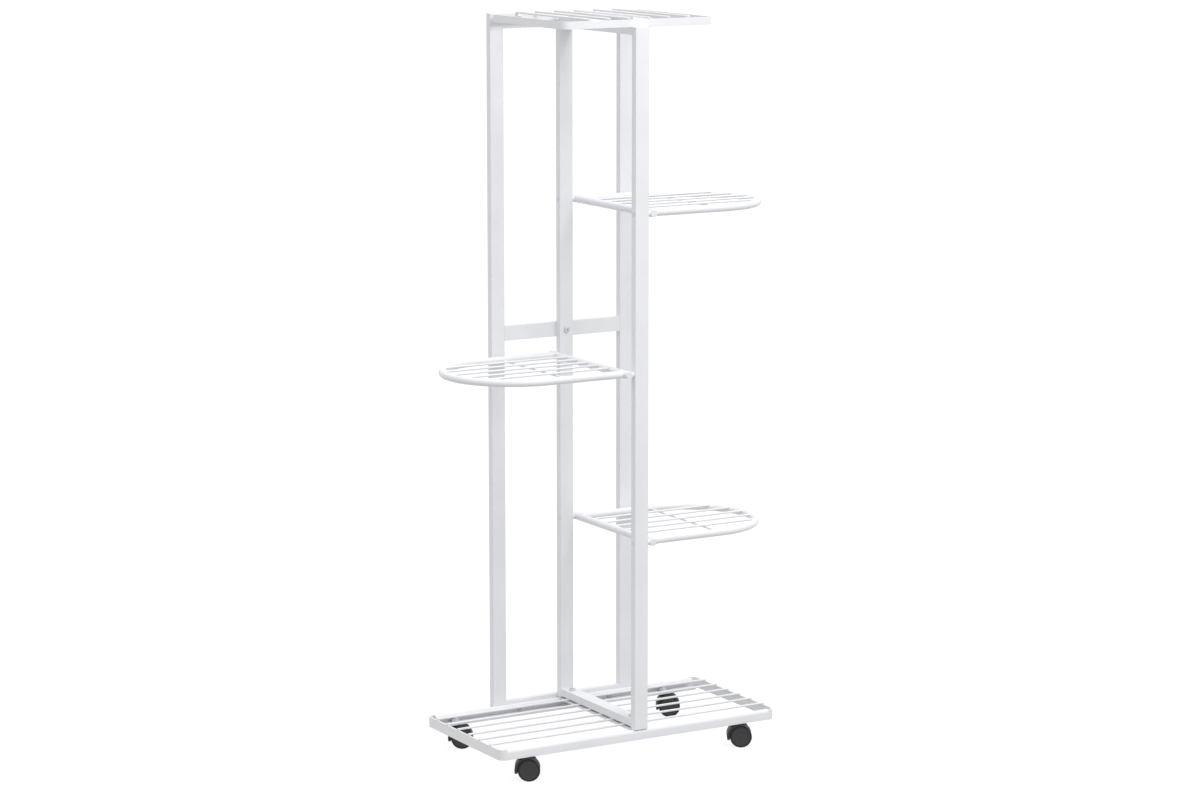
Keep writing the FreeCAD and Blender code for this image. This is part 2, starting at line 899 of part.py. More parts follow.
def hexagon_nut(name, corner_radius, height, bore, x, y, z):
    """A hexagon nut with its underside at the point."""
    body = new_body(name)
    plan = sketch_on(body, "plan", "XY_Plane")
    trace(plan, hexagon(corner_radius))
    ring(plan, 0, 0, bore)
    pad(body, plan, height)
    place(body, x=x, y=y, z=z)
    return body


def back_spacer(side, name):
    """A sleeve between the top shelf and the back frame's top bar."""
    start = size("top_depth") / 2
    middle = (size("tray_depth") / 2 + start) / 2
    body = new_body(f"top_shelf_spacer_{name}")
    section = sketch_on(body, "section", "XZ_Plane", -middle)
    ring(section, 0, 0, size("spacer_radius"))
    ring(section, 0, 0, size("bolt_hole_radius"))
    pad(body, section, size("tray_depth") / 2 - start, symmetric=True)
    place(body, x=size("frame_bolt_offset") * side, z=frame_top() + size("top_height") / 2)
    return body


def make_fasteners():
    """The bolts, nuts and sleeves that hold the tray, the frames and the top shelf together."""
    head = size("bolt_head_radius")
    small = size("small_head_radius")
    reach = size("bolt_reach")
    frame_face = size("tray_depth") / 2
    post_face = frame_face - size("tube_depth")
    rail_face = frame_face - size("rail_wall")
    band_face = size("top_depth") / 2 - size("tray_strip")
    offset = size("frame_bolt_offset")
    bar_offset = size("bar_bolt_offset")
    bar_top = bar_underside() + size("tube_depth")
    strip_low = frame_foot() - size("clamp_thickness")
    nut_low = strip_low - size("bar_nut_height")
    strip_top = frame_top() + size("clamp_thickness")
    shelf_middle = frame_top() + size("top_height") / 2
    crossbar = socket_bolt(
        "crossbar_bolt_1", head, frame_face - post_face + reach, ALONG_Y, 0, post_face, size("crossbar_height")
    )
    tray_bolts = []
    shelf_bolts = []
    spacers = []
    for side, name in ((-1, "left"), (1, "right")):
        x = offset * side
        grip = frame_face - rail_face + reach
        tray_bolts.append(
            socket_bolt(f"tray_back_bolt_{name}", small, grip, ALONG_Y, x, rail_face, back_bolt_height())
        )
        grip = frame_face - band_face + reach
        shelf_bolts.append(
            socket_bolt(f"shelf_back_bolt_{name}", small, grip, ALONG_Y, x, band_face, shelf_middle)
        )
        spacers.append(back_spacer(side, name))
    bar_bolts = []
    bar_nuts = []
    top_bolts = []
    for side, name in ENDS:
        y = bar_offset * side
        bar_bolts.append(socket_bolt(f"bar_bolt_{name}", head, bar_top - nut_low, -UP, 0, y, bar_top))
        bar_nuts.append(
            hexagon_nut(
                f"bar_nut_{name}",
                size("bar_nut_radius"),
                size("bar_nut_height"),
                size("bolt_radius"),
                0,
                y,
                nut_low,
            )
        )
        grip = strip_top - frame_top() + reach
        top_bolts.append(socket_bolt(f"top_bolt_{name}", head, grip, -UP, 0, y, strip_top))
    return [
        group("crossbar_bolt", [crossbar]),
        group("tray_back_bolts", tray_bolts),
        group("top_shelf_back_bolts", shelf_bolts),
        group("top_shelf_back_spacers", spacers),
        group("bottom_bar_bolts", bar_bolts),
        group("bottom_bar_nuts", bar_nuts),
        group("top_shelf_bolts", top_bolts),
    ]


# ---------------------------------------------------------------- castors


class Castor:
    """Where one castor's stem stands."""

    def __init__(self, name, x, y):
        self.name = name
        self.x = x
        self.y = y

    def place(self, piece):
        """Places a piece drawn about the stem, turned to where the castors point at rest."""
        place(piece, x=self.x, y=self.y, yaw=SIZES["castor_yaw"])


def castors():
    """The four castors; the set sits a little left, so that the trailing wheels are centred."""
    left, right = -size("castor_left"), size("castor_right")
    front, back = -size("castor_setback"), size("castor_setback")
    return [
        Castor("front_left", left, front),
        Castor("front_right", right, front),
        Castor("back_left", left, back),
        Castor("back_right", right, back),
    ]


def castor_stem(castor):
    """A threaded stem with a collar under the rail; the hood turns on its lower end."""
    radius = size("stem_radius")
    collar = size("stem_collar_radius")
    under = size("tray_underside")
    collar_low = under - size("stem_collar_height")
    body = new_body(f"{castor.name}_stem")
    outline = sketch_on(body, "outline", "XZ_Plane")
    trace(
        outline,
        [
            Line(radius, size("stem_foot")),
            Line(radius, collar_low),
            Line(collar, collar_low),
            Line(collar, under),
            Line(radius, under),
            Line(radius, size("stem_tip")),
            Line(0, size("stem_tip")),
            Line(0, size("stem_foot")),
        ],
    )
    revolve(body, outline)
    castor.place(body)
    return body


def castor_hood(castor):
    """The swivelling hood: a web between the wheels and a rounded fender over them."""
    trail = size("castor_trail")
    radius = size("hood_radius")
    centre = size("hood_centre_height")
    skirt = size("hood_skirt_height")
    half_width = size("hood_half_width")
    web = size("hood_web_half")
    middle = trail - size("hood_setback")
    half_skirt = radius.leg(centre - skirt)
    body = new_body(f"{castor.name}_castor_hood")
    outline = sketch_on(body, "outline", "XZ_Plane")
    trace(
        outline,
        [
            Line(middle + half_skirt, skirt),
            Arc(middle - half_skirt, skirt, middle, centre),
        ],
    )
    pad(body, outline, half_width * 2, symmetric=True)
    wheel_space = size("wheel_radius") + size("hood_wheel_gap")
    slot = half_width - web
    for side, name in ((-1, "near"), (1, "far")):
        wheel_middle = (half_width + CLEAR + web) / 2 * side
        hole = [(trail, size("wheel_radius"))]
        drill(body, f"{name}_wheel_space", "XZ_Plane", hole, wheel_space, wheel_middle, slot + CLEAR)
    drill(body, "stem_bore", "XY_Plane", [(0, 0)], size("stem_radius") + size("running_gap"))
    drill(body, "axle_bore", "XZ_Plane", [(trail, size("wheel_radius"))], size("axle_radius"))
    castor.place(body)
    return body


def castor_axle(castor):
    """The pin through the hood's web that both wheels spin on."""
    body = new_body(f"{castor.name}_castor_axle")
    section = sketch_on(body, "section", "XZ_Plane")
    ring(section, size("castor_trail"), size("wheel_radius"), size("axle_radius"))
    pad(body, section, size("axle_reach") * 2, symmetric=True)
    castor.place(body)
    return body


def castor_wheel(castor, side, name):
    """A moulded wheel, turned about its axle: rounded tread, grooved outer face, blind bore inside."""
    radius = size("wheel_radius")
    width = size("wheel_width")
    edge = size("wheel_edge")
    disc = size("wheel_disc_radius")
    groove = size("wheel_groove")
    bore = size("axle_radius") + size("running_gap")
    bore_end = size("axle_reach") - size("wheel_inner_face") + size("running_gap") * 4
    body = new_body(f"{castor.name}_castor_{name}")
    outline = sketch_on(body, "outline", "XZ_Plane")
    trace(
        outline,
        [
            Line(radius - edge, 0),
            Arc(radius, edge, radius - edge, edge),
            Line(radius, width - edge),
            Arc(radius - edge, width, radius - edge, width - edge),
            Line(disc + groove, width),
            Line(disc + groove, width - groove),
            Line(disc, width - groove),
            Line(disc, width),
            Line(0, width),
            Line(0, bore_end),
            Line(bore, bore_end),
            Line(bore, 0),
        ],
    )
    revolve(body, outline)
    yaw = math.radians(SIZES["castor_yaw"])
    outward = FreeCAD.Vector(-math.sin(yaw) * side, math.cos(yaw) * side, 0)
    trail = size("castor_trail")
    inner = size("wheel_inner_face")
    x = castor.x + trail * math.cos(yaw) + inner * outward.x
    y = castor.y + trail * math.sin(yaw) + inner * outward.y
    aim(body, outward, x, y, radius)
    return body


def make_castors():
    """Four swivelling twin-wheel castors with their stems and nuts."""
    pieces = []
    stems = []
    nuts = []
    flange_top = size("tray_underside") + size("rail_wall")
    for castor in castors():
        stems.append(castor_stem(castor))
        nuts.append(
            hexagon_nut(
                f"{castor.name}_stem_nut",
                size("stem_nut_radius"),
                size("stem_nut_height"),
                size("stem_radius"),
                castor.x,
                castor.y,
                flange_top,
            )
        )
        pieces.append(castor_hood(castor))
        pieces.append(castor_axle(castor))
        pieces.append(castor_wheel(castor, -1, "front_wheel"))
        pieces.append(castor_wheel(castor, 1, "back_wheel"))
    return [group("castor_stems", stems), group("castor_stem_nuts", nuts)] + pieces


# ---------------------------------------------------------------- writing


def check(pieces):
    """Stops if any object failed or any piece has no valid solid."""
    for thing in DOC.Objects:
        faults = {"Invalid", "Error"} & set(thing.State)
        if faults:
            raise RuntimeError(f"{thing.Label}: {faults}")
    for piece in pieces:
        shape = piece.Shape
        if shape.isNull() or not shape.isValid() or not shape.Solids:
            raise RuntimeError(f"{piece.Label}: no valid solid")


def main():
    """Builds every piece, checks it and writes one STEP file for each."""
    fill_sheet()
    pieces = make_tray() + make_back_frame() + make_centre_frame() + make_top_shelf()
    pieces += make_side_shelves() + make_fasteners() + make_castors()
    DOC.recompute()
    check(pieces)
    os.makedirs(PARTS_FOLDER, exist_ok=True)
    for piece in pieces:
        piece.Shape.exportStep(os.path.join(PARTS_FOLDER, f"{piece.Label}.step"))
    print(f"{len(pieces)} pieces written")


main()
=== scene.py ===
"""Flower cart stand: finishes, small details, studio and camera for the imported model.

Everything is in metres in the model's own frame: origin on the floor below the middle of the stand,
+X right, +Y back, +Z up.  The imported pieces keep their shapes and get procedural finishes.  The welds,
the discs in the castor wheels and the bosses on the castor hoods are added here.
"""

import json
import logging
import math
from abc import ABC, abstractmethod
from dataclasses import dataclass, field
from enum import Enum

import bmesh
import bpy
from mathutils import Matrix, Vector

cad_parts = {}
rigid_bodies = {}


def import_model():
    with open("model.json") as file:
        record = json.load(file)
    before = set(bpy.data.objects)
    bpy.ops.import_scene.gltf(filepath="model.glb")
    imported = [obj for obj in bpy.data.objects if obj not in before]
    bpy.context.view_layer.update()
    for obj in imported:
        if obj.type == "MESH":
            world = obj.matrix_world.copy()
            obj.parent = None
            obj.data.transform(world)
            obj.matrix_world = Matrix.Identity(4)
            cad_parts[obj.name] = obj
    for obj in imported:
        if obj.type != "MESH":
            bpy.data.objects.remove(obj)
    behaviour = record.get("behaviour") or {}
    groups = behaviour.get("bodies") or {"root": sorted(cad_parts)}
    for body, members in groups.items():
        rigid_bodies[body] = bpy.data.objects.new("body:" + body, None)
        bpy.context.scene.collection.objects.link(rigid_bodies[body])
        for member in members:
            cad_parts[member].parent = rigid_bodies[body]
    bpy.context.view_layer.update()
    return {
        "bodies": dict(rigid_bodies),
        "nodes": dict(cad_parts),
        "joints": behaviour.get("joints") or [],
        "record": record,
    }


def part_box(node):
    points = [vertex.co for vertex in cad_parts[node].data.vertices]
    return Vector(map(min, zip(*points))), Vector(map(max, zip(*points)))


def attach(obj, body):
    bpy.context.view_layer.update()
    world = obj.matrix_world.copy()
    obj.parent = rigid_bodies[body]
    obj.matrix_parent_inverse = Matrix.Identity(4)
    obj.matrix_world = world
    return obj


LOG = logging.getLogger("flower_cart_stand")
MM = 0.001
PHOTO_WIDTH = 1200
WHITE = (1.0, 1.0, 1.0, 1.0)

# most of a noise pattern lies between these two values
NOISE_LOW = 0.3
NOISE_HIGH = 0.7
NOISE_ROUGHNESS = 0.55
BEVEL_SAMPLES = 6


# ------------------------------------------------------------------ colour and node helpers


def linear(hex_colour: str) -> tuple[float, float, float, float]:
    """Turns an sRGB hex colour into a linear one.

    Args:
        hex_colour: Six hexadecimal digits with a leading hash.

    Returns:
        Linear red, green, blue and an alpha of one.
    """
    channels = []
    for start in (1, 3, 5):
        value = int(hex_colour[start : start + 2], 16) / 255
        channels.append(value / 12.92 if value <= 0.04045 else ((value + 0.055) / 1.055) ** 2.4)
    return (*channels, 1.0)


def add_node(
    tree: bpy.types.NodeTree, kind: str, inputs: dict | None = None, **settings: object
) -> bpy.types.Node:
    """Adds a shader node with its settings and links.

    Args:
        tree: The node tree that gets the node.
        kind: The node's Blender type name.
        inputs: Input name or index to a value, or to an output socket that feeds it.
        **settings: Properties of the node itself.

    Returns:
        The new node.
    """
    node = tree.nodes.new(kind)
    for name, value in settings.items():
        setattr(node, name, value)
    for name, value in (inputs or {}).items():
        if isinstance(value, bpy.types.NodeSocket):
            tree.links.new(value, node.inputs[name])
        else:
            node.inputs[name].default_value = value
    return node


# ------------------------------------------------------------------ finishes


@dataclass(frozen=True)
class Grain:
    """A random pattern at a real size.

    Attributes:
        feature_mm: About how far across its features are on the real object.
        detail: How many finer layers it has.
    """

    feature_mm: float
    detail: float

    def inputs(self, coords: bpy.types.NodeSocket) -> dict:
        """What a noise node needs to draw the pattern."""
        scale = 1.0 / (self.feature_mm * MM)
        return {"Vector": coords, "Scale": scale, "Detail": self.detail, "Roughness": NOISE_ROUGHNESS}


@dataclass(frozen=True)
class Finish(ABC):
    """A surface finish that makes one procedural material.

    Attributes:
        name: The material's name.
        slot: The record's material slot that the finish belongs to; not used.
        colour: The main sRGB colour.
        second: The colour that it drifts to.
        tint_grain: The pattern that drifts the colour.
        gloss_grain: The pattern that varies the roughness.
        skin_grain: The pattern that stands up from the surface.
        roughness: The middle roughness.
        smoother: How far the roughness falls below that.
        rougher: How far it rises above that.
        skin_strength: How much of the skin shows.
        skin_depth_mm: The skin's depth.
        edge_mm: The radius of the round that the eye sees on sharp edges.
    """

    name: str
    slot: str
    colour: str
    second: str
    tint_grain: Grain
    gloss_grain: Grain
    skin_grain: Grain
    roughness: float
    smoother: float
    rougher: float
    skin_strength: float
    skin_depth_mm: float
    edge_mm: float

    @abstractmethod
    def body(self) -> dict[str, float]:
        """What the finish is made of, as values of the shader's own sockets."""

    def material(self) -> bpy.types.Material:
        """Makes the material, or returns the one made before."""
        made = bpy.data.materials.get(self.name)
        if made is not None:
            return made
        made = bpy.data.materials.new(self.name)
        made.use_nodes = True
        tree = made.node_tree
        tree.nodes.clear()
        shader = self.surface(tree)
        add_node(tree, "ShaderNodeOutputMaterial", {"Surface": shader.outputs["BSDF"]})
        return made

    def surface(self, tree: bpy.types.NodeTree) -> bpy.types.Node:
        """Builds the colour, the gloss and the skin, and joins them in one shader.

        Args:
            tree: The material's node tree.

        Returns:
            The surface shader.
        """
        coords = add_node(tree, "ShaderNodeTexCoord").outputs["Object"]
        grains = (self.tint_grain, self.gloss_grain, self.skin_grain)
        noises = [add_node(tree, "ShaderNodeTexNoise", grain.inputs(coords)) for grain in grains]
        drift, speck, skin = (noise.outputs["Fac"] for noise in noises)
        ranges = (
            (drift, 0.0, 1.0),
            (speck, self.roughness - self.smoother, self.roughness + self.rougher),
        )
        stretched = []
        for value, low, high in ranges:
            span = {"From Min": NOISE_LOW, "From Max": NOISE_HIGH, "To Min": low, "To Max": high}
            fitted = add_node(tree, "ShaderNodeMapRange", {"Value": value} | span)
            stretched.append(fitted.outputs["Result"])
        share, gloss = stretched
        colours = {0: share, 6: linear(self.colour), 7: linear(self.second)}
        tint = add_node(tree, "ShaderNodeMix", colours, data_type="RGBA").outputs[2]
        edge = add_node(tree, "ShaderNodeBevel", {"Radius": self.edge_mm * MM}, samples=BEVEL_SAMPLES)
        relief = {"Height": skin, "Strength": self.skin_strength, "Distance": self.skin_depth_mm * MM}
        relief["Normal"] = edge.outputs["Normal"]
        normal = add_node(tree, "ShaderNodeBump", relief).outputs["Normal"]
        inputs = {"Base Color": tint, "Roughness": gloss, "Normal": normal}
        return add_node(tree, "ShaderNodeBsdfPrincipled", inputs | self.body())


@dataclass(frozen=True)
class PowderCoat(Finish):
    """Baked powder paint.

    The eye reads the slow colour drift as thick and thin paint, and the orange peel as its skin.  The
    pattern sizes are assumed.
    """

    tint_grain: Grain = Grain(60.0, 3.0)
    gloss_grain: Grain = Grain(5.0, 4.0)
    skin_grain: Grain = Grain(1.6, 1.0)
    roughness: float = 0.36
    smoother: float = 0.06
    rougher: float = 0.08
    skin_strength: float = 0.35
    skin_depth_mm: float = 0.05
    edge_mm: float = 0.6

    def body(self) -> dict[str, float]:
        """A resin, which bends light about as glass does."""
        return {"IOR": 1.5}


@dataclass(frozen=True)
class ZincPlate(Finish):
    """Bright zinc on small steel parts.

    Milky patches and fine marks keep the small heads from looking like mirrors.  The pattern sizes are
    assumed.  The marks are narrower than a pixel from the photograph's distance, where a pixel is about
    1.35 mm, so they show in close views alone.
    """

    tint_grain: Grain = Grain(3.0, 3.0)
    gloss_grain: Grain = Grain(0.35, 2.0)
    skin_grain: Grain = Grain(0.35, 2.0)
    roughness: float = 0.34
    smoother: float = 0.1
    rougher: float = 0.14
    skin_strength: float = 0.3
    skin_depth_mm: float = 0.02
    edge_mm: float = 0.2

    def body(self) -> dict[str, float]:
        """A metal under a milky film, so not wholly metallic."""
        return {"Metallic": 0.6}


@dataclass(frozen=True)
class MouldedPlastic(Finish):
    """Injection-moulded plastic.

    The grain left by the mould scatters the highlight, and faint flow marks vary it along the piece.  The
    pattern sizes are assumed.  The grain is finer than a pixel from the photograph's distance, where a
    pixel is about 1.35 mm, so it shows in close views alone.
    """

    tint_grain: Grain = Grain(9.0, 4.0)
    gloss_grain: Grain = Grain(9.0, 4.0)
    skin_grain: Grain = Grain(0.45, 2.0)
    roughness: float = 0.5
    smoother: float = 0.08
    rougher: float = 0.08
    skin_strength: float = 0.4
    skin_depth_mm: float = 0.03
    edge_mm: float = 0.4

    def body(self) -> dict[str, float]:
        """A thermoplastic, which bends light about as glass does."""
        return {"IOR": 1.5}


class Surface(Enum):
    """The finishes that the stand is made in."""

    # satin white paint on tube, strip and wire: bright, slightly cool, with soft highlights
    WHITE_COAT = PowderCoat("powder_coated_steel", "white_steel", "#EEEFF2", "#E9EAED")
    # the same paint over a weld: a little darker and duller, so that the joint can be seen
    WELD_COAT = PowderCoat(
        "powder_coated_weld",
        "white_steel",
        "#E9EAED",
        "#E1E3E6",
        skin_grain=Grain(1.1, 1.0),
        roughness=0.42,
    )
    # bolts, nuts and stems: light grey with a broken shine
    ZINC = ZincPlate("zinc_plated_steel", "zinc_steel", "#D4D8DC", "#BFC3C8")
    # the plugs in the cross tubes: almost the paint's white, a little softer in shine
    WHITE_PLUG = MouldedPlastic(
        "moulded_polyethylene", "white_plastic", "#EDEEF2", "#E5E7EC", roughness=0.42
    )
    # the castor hoods: black with a low, even shine
    BLACK_HOOD = MouldedPlastic(
        "moulded_nylon_hood", "black_plastic", "#17181A", "#1E1F21", roughness=0.5
    )
    # the rims of the castor wheels: the darkest and dullest black
    BLACK_TREAD = MouldedPlastic(
        "moulded_nylon_tread", "black_plastic", "#0F1011", "#17181A", roughness=0.6
    )
    # the discs in the wheels: a dark grey that stands out from the rim
    GREY_CAP = MouldedPlastic(
        "moulded_polypropylene_cap", "black_plastic", "#242527", "#2B2C2E", roughness=0.55
    )


SLOT_SURFACES = {
    "white_steel": Surface.WHITE_COAT,
    "zinc_steel": Surface.ZINC,
    "white_plastic": Surface.WHITE_PLUG,
    "black_plastic": Surface.BLACK_HOOD,
}


def paint(thing: bpy.types.Object, surface: Surface) -> None:
    """Gives a whole object one finish.

    Args:
        thing: The object.
        surface: The finish.
    """
    made = surface.value.material()
    if not thing.material_slots:
        thing.data.materials.append(made)
    for slot in thing.material_slots:
        slot.material = made


# ------------------------------------------------------------------ mesh helpers

SHARP_ANGLE = math.radians(38)
RIPPLE_STEP = 1.9
BEAD_END = 0.45


def circle(mesh: bmesh.types.BMesh, centre: Vector, axis: Vector, radius: float, sides: int) -> list:
    """Puts a ring of vertices round an axis.

    Args:
        mesh: The bmesh that gets them.
        centre: The ring's middle.
        axis: The unit axis.
        radius: The ring's radius.
        sides: How many vertices it has.

    Returns:
        The vertices in order.
    """
    across = axis.orthogonal().normalized()
    up = axis.cross(across).normalized()
    turns = [2 * math.pi * step / sides for step in range(sides)]
    spokes = [(across * math.cos(turn) + up * math.sin(turn)) * radius for turn in turns]
    return [mesh.verts.new(centre + spoke) for spoke in spokes]


def make_object(name: str, mesh: bmesh.types.BMesh, surface: Surface) -> bpy.types.Object:
    """Turns a finished bmesh into a painted, smooth-shaded object.

    Args:
        name: The piece's name.
        mesh: The geometry, which is freed.
        surface: Its finish.

    Returns:
        The new object, linked to the scene.
    """
    bmesh.ops.recalc_face_normals(mesh, faces=mesh.faces)
    data = bpy.data.meshes.new(name)
    mesh.to_mesh(data)
    mesh.free()
    data.shade_smooth()
    data.set_sharp_from_angle(angle=SHARP_ANGLE)
    made = bpy.data.objects.new(name, data)
    bpy.context.scene.collection.objects.link(made)
    paint(made, surface)
    return made


def lathe(
    mesh: bmesh.types.BMesh, centre: Vector, axis: Vector, profile: list[tuple[float, float]], sides: int
) -> None:
    """Turns a profile of (radius, height along the axis) points about an axis.

    Args:
        mesh: The bmesh that gets the faces.
        centre: Where the profile's zero height lies.
        axis: The unit axis.
        profile: The points, from the outside in; a last radius of zero closes the form.
        sides: Faces round the axis.
    """
    rings = []
    for radius, height in profile:
        base = centre + axis * height
        rings.append(circle(mesh, base, axis, radius, sides) if radius else [mesh.verts.new(base)])
    for lower, upper in zip(rings, rings[1:]):
        for step in range(sides):
            following = (step + 1) % sides
            if len(upper) == 1:
                mesh.faces.new((lower[step], lower[following], upper[0]))
            else:
                mesh.faces.new((lower[step], lower[following], upper[following], upper[step]))


def rope(
    mesh: bmesh.types.BMesh, path: list[Vector], radius: float, ripple: float, closed: bool, sides: int = 10
) -> None:
    """Sweeps a small round bead along a path, swelling and sinking like the ripples of a weld.

    Args:
        mesh: The bmesh that gets the faces.
        path: The bead's centre line.
        radius: The bead's radius.
        ripple: The share by which the radius swells and sinks.
        closed: True where the path comes back to its start.
        sides: Faces round the bead.
    """
    count = len(path)
    rings = []
    for step, point in enumerate(path):
        before = path[step - 1] if step or closed else point
        after = path[(step + 1) % count] if step + 1 < count or closed else point
        along = (after - before).normalized()
        inside = closed or 0 < step < count - 1
        swell = radius * (1 + ripple * math.sin(step * RIPPLE_STEP)) * (1 if inside else BEAD_END)
        rings.append(circle(mesh, point, along, swell, sides))
    spans = count if closed else count - 1
    for step in range(spans):
        lower, upper = rings[step], rings[(step + 1) % count]
        shift = nearest_turn(lower[0].co, upper)
        for side in range(sides):
            first = (side + shift) % sides
            second = (side + 1 + shift) % sides
            mesh.faces.new((lower[side], lower[(side + 1) % sides], upper[second], upper[first]))
    if not closed:
        mesh.faces.new(rings[0])
        mesh.faces.new(rings[-1])


def nearest_turn(point: Vector, ring: list) -> int:
    """The index of the ring's vertex nearest to a point, so that neighbouring rings join without a twist."""
    return min(range(len(ring)), key=lambda index: (ring[index].co - point).length)


def straight_path(start: Vector, end: Vector, step: float) -> list[Vector]:
    """Points evenly spaced along a straight line.

    Args:
        start: The first point.
        end: The last point.
        step: About how far apart they are.

    Returns:
        At least three points.
    """
    count = max(3, round((end - start).length / step) + 1)
    return [start.lerp(end, index / (count - 1)) for index in range(count)]


# ------------------------------------------------------------------ measures read from the model


@dataclass(frozen=True)
class Box:
    """A node's box at rest."""

    low: Vector
    high: Vector

    @staticmethod
    def of(node: str) -> "Box":
        """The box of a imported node."""
        low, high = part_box(node)
        return Box(Vector(low), Vector(high))

    @property
    def middle(self) -> Vector:
        """The centre of the box."""
        return (self.low + self.high) / 2

    @property
    def size(self) -> Vector:
        """The lengths of the box's sides."""
        return self.high - self.low


def wire_lines(low: float, high: float, radius: float, count: int) -> list[float]:
    """The centre lines of evenly spaced wires.

    Args:
        low: The outer side of the first wire.
        high: The outer side of the last wire.
        radius: The wires' radius.
        count: How many wires there are.

    Returns:
        One coordinate for each wire.
    """
    first = low + radius
    pitch = (high - low - 2 * radius) / (count - 1)
    return [first + pitch * index for index in range(count)]


# ------------------------------------------------------------------ sub-assemblies


@dataclass
class SubAssembly(ABC):
    """A group of pieces that ride on one body.

    Attributes:
        name: What the group's pieces are named after.
        body: The body that they ride on.
    """

    name: str
    body: str

    def keep(self, piece: bpy.types.Object) -> None:
        """Makes a piece ride on the body and logs it."""
        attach(piece, self.body)
        LOG.info("%s: %s rides on %s", self.name, piece.name, self.body)

    @abstractmethod
    def build(self) -> None:
        """Makes the group's pieces."""


@dataclass
class StripWelds(SubAssembly):
    """The spot welds where a row of wires lies across flat strips.

    Attributes:
        wires: The node that holds the wires.
        count: How many wires it holds.
        along_x: True where the wires run along X.
        strip: The strips' thickness.
        step: How far apart a nugget's ripples are.
        thickness: A nugget's radius as a share of the wire's.
        height: How high a nugget lies on the wire, as a share of its radius.
        spread: How far out it lies from the wire's centre line, as a share of its radius.
        start: Where it starts, as a share of the strip from the wire's end.
        end: Where it ends, in the same way.
        ripple: The share by which it swells.
    """

    wires: str = ""
    count: int = 6
    along_x: bool = True
    strip: float = 2.5 * MM
    step: float = 0.5 * MM
    thickness: float = 0.42
    height: float = 0.25
    spread: float = 0.85
    start: float = 0.15
    end: float = 1.1
    ripple: float = 0.12

    def build(self) -> None:
        """Puts a low nugget on each side of every wire's two ends."""
        box = Box.of(self.wires)
        radius = box.size.z / 2
        across = 1 if self.along_x else 0
        along = 1 - across
        mesh = bmesh.new()
        for line in wire_lines(box.low[across], box.high[across], radius, self.count):
            for tip, inward in ((box.low[along], 1), (box.high[along], -1)):
                for side in (-1, 1):
                    first = Vector((0, 0, box.low.z + radius * self.height))
                    first[across] = line + side * radius * self.spread
                    first[along] = tip + inward * self.strip * self.start
                    last = first.copy()
                    last[along] = tip + inward * self.strip * self.end
                    path = straight_path(first, last, self.step)
                    rope(mesh, path, radius * self.thickness, self.ripple, closed=False)
        self.keep(make_object(f"{self.name}_welds", mesh, Surface.WELD_COAT))


